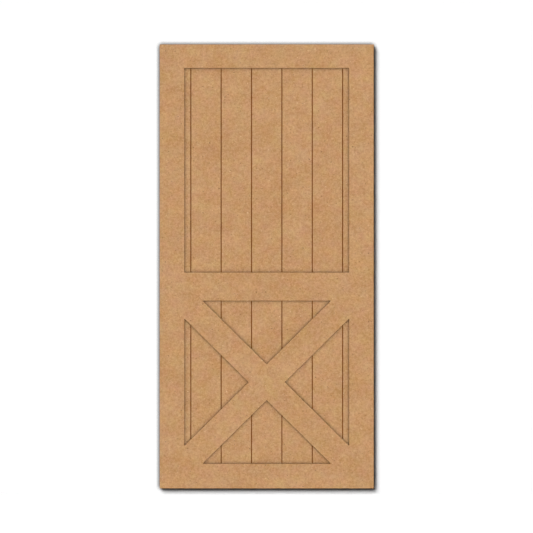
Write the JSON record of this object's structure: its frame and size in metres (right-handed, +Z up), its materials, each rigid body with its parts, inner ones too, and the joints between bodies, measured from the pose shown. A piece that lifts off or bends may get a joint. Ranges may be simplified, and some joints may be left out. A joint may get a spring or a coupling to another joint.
{
  "type": "barn door leaf",
  "caption": "Bare fibreboard barn door leaf with a raised frame, an X brace in its lower panel, and sunk panels grooved into vertical planks.",
  "frame": {"origin": "middle of the leaf's bottom edge, halfway through its thickness", "axes": "+X across the leaf, +Y through its thickness towards the back face, +Z up its height; the front face looks along -Y"},
  "size_m": [1.029, 0.035, 2.134],
  "materials": {
    "mdf": "matte"
  },
  "bodies": {
    "root": {"door_leaf": "mdf"}
  },
  "joints": []
}
